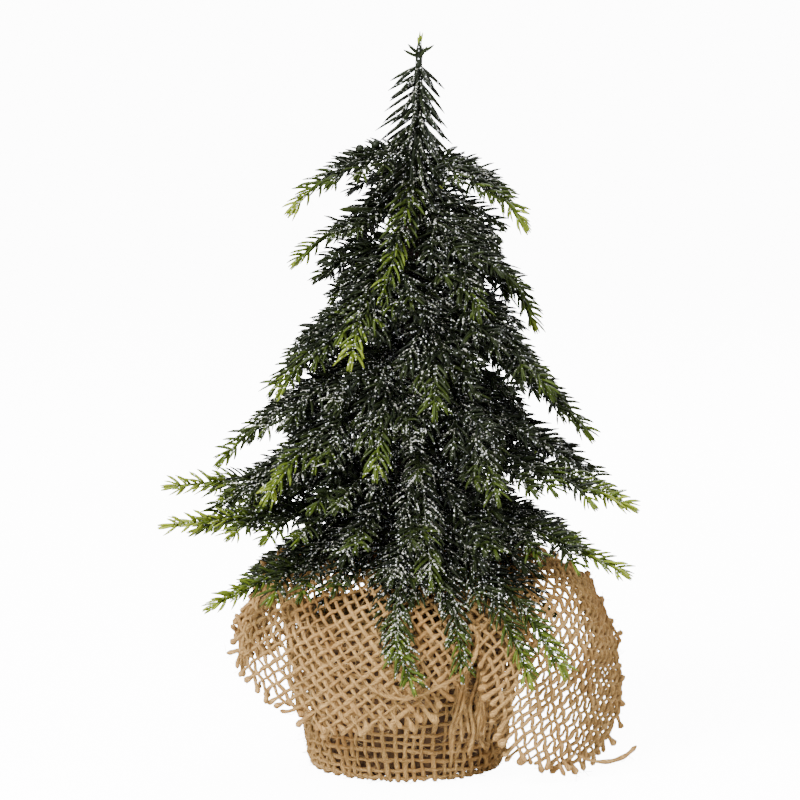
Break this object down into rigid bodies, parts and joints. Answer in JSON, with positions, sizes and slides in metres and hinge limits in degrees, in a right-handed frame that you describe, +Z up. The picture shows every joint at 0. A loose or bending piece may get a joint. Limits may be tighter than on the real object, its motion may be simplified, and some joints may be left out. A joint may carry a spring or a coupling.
{
  "type": "artificial tabletop tree",
  "caption": "Small artificial fir with bendable wired needle branches on a taped trunk, standing in a weighted pot wrapped in a burlap square.",
  "frame": {"origin": "middle of the flat face the wrapped pot stands on", "axes": "+Z up along the trunk, -Y the front that the main flap faces, +X to the front's right"},
  "size_m": [0.133, 0.1047, 0.2],
  "materials": {
    "needles": "moulded polyethylene, frosted",
    "burlap": "open plain weave jute",
    "twine": "jute twine",
    "floral_tape": "crepe paper tape",
    "steel_wire": "drawn wire",
    "pot": "plain moulded",
    "plaster": "cast plaster"
  },
  "bodies": {
    "tree": {"pot_cup": "pot", "plaster_weight": "plaster", "burlap_wrap": "burlap", "neck_tie": "twine", "trunk_wire": "steel_wire", "trunk_tape": "floral_tape", "leader_sprig": "needles"},
    "branch_01": {"branch_01": "needles"},
    "branch_02": {"branch_02": "needles"},
    "branch_03": {"branch_03": "needles"},
    "branch_04": {"branch_04": "needles"},
    "branch_05": {"branch_05": "needles"},
    "branch_06": {"branch_06": "needles"},
    "branch_07": {"branch_07": "needles"},
    "branch_08": {"branch_08": "needles"},
    "branch_09": {"branch_09": "needles"},
    "branch_10": {"branch_10": "needles"},
    "branch_11": {"branch_11": "needles"},
    "branch_12": {"branch_12": "needles"},
    "branch_13": {"branch_13": "needles"},
    "branch_14": {"branch_14": "needles"},
    "branch_15": {"branch_15": "needles"},
    "branch_16": {"branch_16": "needles"},
    "branch_17": {"branch_17": "needles"},
    "branch_18": {"branch_18": "needles"},
    "branch_19": {"branch_19": "needles"},
    "branch_20": {"branch_20": "needles"},
    "branch_21": {"branch_21": "needles"},
    "branch_22": {"branch_22": "needles"},
    "branch_23": {"branch_23": "needles"},
    "branch_24": {"branch_24": "needles"},
    "branch_25": {"branch_25": "needles"},
    "branch_26": {"branch_26": "needles"},
    "branch_27": {"branch_27": "needles"},
    "branch_28": {"branch_28": "needles"},
    "branch_29": {"branch_29": "needles"},
    "branch_30": {"branch_30": "needles"},
    "branch_31": {"branch_31": "needles"},
    "branch_32": {"branch_32": "needles"},
    "branch_33": {"branch_33": "needles"},
    "branch_34": {"branch_34": "needles"},
    "branch_35": {"branch_35": "needles"},
    "branch_36": {"branch_36": "needles"},
    "branch_37": {"branch_37": "needles"},
    "branch_38": {"branch_38": "needles"},
    "branch_39": {"branch_39": "needles"},
    "branch_40": {"branch_40": "needles"},
    "branch_41": {"branch_41": "needles"},
    "branch_42": {"branch_42": "needles"},
    "branch_43": {"branch_43": "needles"},
    "branch_44": {"branch_44": "needles"}
  },
  "joints": [
    {"name": "branch_01_bend", "type": "hinge", "parent": "tree", "child": "branch_01", "pos_m": [-0.00037, -0.00062, 0.1685], "axis": [-0.2079, 0.9781, 0], "range_deg": [-12, 30]},
    {"name": "branch_02_bend", "type": "hinge", "parent": "tree", "child": "branch_02", "pos_m": [0.00542, -0.00073, 0.16693], "axis": [-0.2419, -0.9703, 0], "range_deg": [-12, 30]},
    {"name": "branch_03_bend", "type": "hinge", "parent": "tree", "child": "branch_03", "pos_m": [0.00231, 0.003, 0.16432], "axis": [0.9994, 0.0349, 0], "range_deg": [-12, 30]},
    {"name": "branch_04_bend", "type": "hinge", "parent": "tree", "child": "branch_04", "pos_m": [0.0019, -0.00297, 0.16171], "axis": [-0.9903, 0.1392, 0], "range_deg": [-12, 30]},
    {"name": "branch_05_bend", "type": "hinge", "parent": "tree", "child": "branch_05", "pos_m": [-0.00005, 0.00193, 0.15962], "axis": [0.6428, 0.766, 0], "range_deg": [-12, 30]},
    {"name": "branch_06_bend", "type": "hinge", "parent": "tree", "child": "branch_06", "pos_m": [0.0044, 0.00201, 0.15753], "axis": [0.6691, -0.7431, 0], "range_deg": [-12, 30]},
    {"name": "branch_07_bend", "type": "hinge", "parent": "tree", "child": "branch_07", "pos_m": [0.00384, -0.00243, 0.15491], "axis": [-0.809, -0.5878, 0], "range_deg": [-12, 30]},
    {"name": "branch_08_bend", "type": "hinge", "parent": "tree", "child": "branch_08", "pos_m": [-0.00098, 0.00047, 0.1523], "axis": [0.1564, 0.9877, 0], "range_deg": [-12, 30]},
    {"name": "branch_09_bend", "type": "hinge", "parent": "tree", "child": "branch_09", "pos_m": [0.00478, 0.00042, 0.1476], "axis": [0.1392, -0.9903, 0], "range_deg": [-12, 30]},
    {"name": "branch_10_bend", "type": "hinge", "parent": "tree", "child": "branch_10", "pos_m": [0.00006, -0.00249, 0.14551], "axis": [-0.829, 0.5592, 0], "range_deg": [-12, 30]},
    {"name": "branch_11_bend", "type": "hinge", "parent": "tree", "child": "branch_11", "pos_m": [0.00038, 0.00272, 0.1429], "axis": [0.9063, 0.4226, 0], "range_deg": [-12, 30]},
    {"name": "branch_12_bend", "type": "hinge", "parent": "tree", "child": "branch_12", "pos_m": [0.00279, 0.00274, 0.14081], "axis": [0.9135, -0.4067, 0], "range_deg": [-12, 30]},
    {"name": "branch_13_bend", "type": "hinge", "parent": "tree", "child": "branch_13", "pos_m": [0.00238, -0.00285, 0.13767], "axis": [-0.9511, -0.309, 0], "range_deg": [-12, 30]},
    {"name": "branch_14_bend", "type": "hinge", "parent": "tree", "child": "branch_14", "pos_m": [0.00397, -0.00145, 0.13454], "axis": [-0.4848, -0.8746, 0], "range_deg": [-12, 30]},
    {"name": "branch_15_bend", "type": "hinge", "parent": "tree", "child": "branch_15", "pos_m": [-0.00149, -0.00117, 0.13245], "axis": [-0.3907, 0.9205, 0], "range_deg": [-12, 30]},
    {"name": "branch_16_bend", "type": "hinge", "parent": "tree", "child": "branch_16", "pos_m": [-0.00147, 0.00141, 0.12984], "axis": [0.4695, 0.8829, 0], "range_deg": [-12, 30]},
    {"name": "branch_17_bend", "type": "hinge", "parent": "tree", "child": "branch_17", "pos_m": [0.00386, 0.00112, 0.12722], "axis": [0.3746, -0.9272, 0], "range_deg": [-12, 30]},
    {"name": "branch_18_bend", "type": "hinge", "parent": "tree", "child": "branch_18", "pos_m": [0.00016, -0.00288, 0.12461], "axis": [-0.9613, 0.2756, 0], "range_deg": [-12, 30]},
    {"name": "branch_19_bend", "type": "hinge", "parent": "tree", "child": "branch_19", "pos_m": [0.00389, -0.00016, 0.122], "axis": [-0.0523, -0.9986, 0], "range_deg": [-12, 30]},
    {"name": "branch_20_bend", "type": "hinge", "parent": "tree", "child": "branch_20", "pos_m": [0.00038, 0.00297, 0.11939], "axis": [0.9903, 0.1392, 0], "range_deg": [-12, 30]},
    {"name": "branch_21_bend", "type": "hinge", "parent": "tree", "child": "branch_21", "pos_m": [0.00263, -0.0023, 0.11677], "axis": [-0.766, -0.6428, 0], "range_deg": [-12, 30]},
    {"name": "branch_22_bend", "type": "hinge", "parent": "tree", "child": "branch_22", "pos_m": [-0.00239, -0.00016, 0.11416], "axis": [-0.0523, 0.9986, 0], "range_deg": [-12, 30]},
    {"name": "branch_23_bend", "type": "hinge", "parent": "tree", "child": "branch_23", "pos_m": [0.00244, 0.0023, 0.11155], "axis": [0.766, -0.6428, 0], "range_deg": [-12, 30]},
    {"name": "branch_24_bend", "type": "hinge", "parent": "tree", "child": "branch_24", "pos_m": [-0.00194, -0.00185, 0.10894], "axis": [-0.6157, 0.788, 0], "range_deg": [-12, 30]},
    {"name": "branch_25_bend", "type": "hinge", "parent": "tree", "child": "branch_25", "pos_m": [-0.0016, 0.0023, 0.10632], "axis": [0.766, 0.6428, 0], "range_deg": [-12, 30]},
    {"name": "branch_26_bend", "type": "hinge", "parent": "tree", "child": "branch_26", "pos_m": [0.00317, 0.00062, 0.10371], "axis": [0.2079, -0.9781, 0], "range_deg": [-12, 30]},
    {"name": "branch_27_bend", "type": "hinge", "parent": "tree", "child": "branch_27", "pos_m": [0.00066, -0.00295, 0.1011], "axis": [-0.9848, -0.1736, 0], "range_deg": [-12, 30]},
    {"name": "branch_28_bend", "type": "hinge", "parent": "tree", "child": "branch_28", "pos_m": [-0.00289, -0.00062, 0.09849], "axis": [-0.2079, 0.9781, 0], "range_deg": [-12, 30]},
    {"name": "branch_29_bend", "type": "hinge", "parent": "tree", "child": "branch_29", "pos_m": [0.00045, 0.00295, 0.09535], "axis": [0.9848, -0.1736, 0], "range_deg": [-12, 30]},
    {"name": "branch_30_bend", "type": "hinge", "parent": "tree", "child": "branch_30", "pos_m": [0.00275, -0.00062, 0.09222], "axis": [-0.2079, -0.9781, 0], "range_deg": [-12, 30]},
    {"name": "branch_31_bend", "type": "hinge", "parent": "tree", "child": "branch_31", "pos_m": [-0.00301, 0.00122, 0.0896], "axis": [0.4067, 0.9135, 0], "range_deg": [-12, 30]},
    {"name": "branch_32_bend", "type": "hinge", "parent": "tree", "child": "branch_32", "pos_m": [0.00078, -0.00276, 0.08647], "axis": [-0.9205, -0.3907, 0], "range_deg": [-12, 30]},
    {"name": "branch_33_bend", "type": "hinge", "parent": "tree", "child": "branch_33", "pos_m": [-0.00345, 0.00031, 0.08438], "axis": [0.1045, 0.9945, 0], "range_deg": [-12, 30]},
    {"name": "branch_34_bend", "type": "hinge", "parent": "tree", "child": "branch_34", "pos_m": [-0.00168, 0.00278, 0.08177], "axis": [0.9272, 0.3746, 0], "range_deg": [-12, 30]},
    {"name": "branch_35_bend", "type": "hinge", "parent": "tree", "child": "branch_35", "pos_m": [0.00187, 0.00163, 0.07915], "axis": [0.5446, -0.8387, 0], "range_deg": [-12, 30]},
    {"name": "branch_36_bend", "type": "hinge", "parent": "tree", "child": "branch_36", "pos_m": [-0.00183, -0.00278, 0.07759], "axis": [-0.9272, 0.3746, 0], "range_deg": [0, 30]},
    {"name": "branch_37_bend", "type": "hinge", "parent": "tree", "child": "branch_37", "pos_m": [0.00202, -0.00112, 0.07602], "axis": [-0.3746, -0.9272, 0], "range_deg": [0, 30]},
    {"name": "branch_38_bend", "type": "hinge", "parent": "tree", "child": "branch_38", "pos_m": [-0.00362, -0.00108, 0.07445], "axis": [-0.3584, 0.9336, 0], "range_deg": [0, 30]},
    {"name": "branch_39_bend", "type": "hinge", "parent": "tree", "child": "branch_39", "pos_m": [0.00051, 0.00265, 0.07236], "axis": [0.8829, -0.4695, 0], "range_deg": [0, 30]},
    {"name": "branch_40_bend", "type": "hinge", "parent": "tree", "child": "branch_40", "pos_m": [-0.00098, -0.003, 0.07288], "axis": [-0.9994, 0.0349, 0], "range_deg": [0, 30]},
    {"name": "branch_41_bend", "type": "hinge", "parent": "tree", "child": "branch_41", "pos_m": [0.00087, -0.0024, 0.07132], "axis": [-0.7986, -0.6018, 0], "range_deg": [0, 30]},
    {"name": "branch_42_bend", "type": "hinge", "parent": "tree", "child": "branch_42", "pos_m": [-0.00336, 0.00193, 0.06766], "axis": [0.6428, 0.766, 0], "range_deg": [0, 30]},
    {"name": "branch_43_bend", "type": "hinge", "parent": "tree", "child": "branch_43", "pos_m": [0.00129, -0.0018, 0.06661], "axis": [-0.6018, -0.7986, 0], "range_deg": [0, 30]},
    {"name": "branch_44_bend", "type": "hinge", "parent": "tree", "child": "branch_44", "pos_m": [-0.00362, -0.00176, 0.064], "axis": [-0.5878, 0.809, 0], "range_deg": [0, 30]}
  ]
}
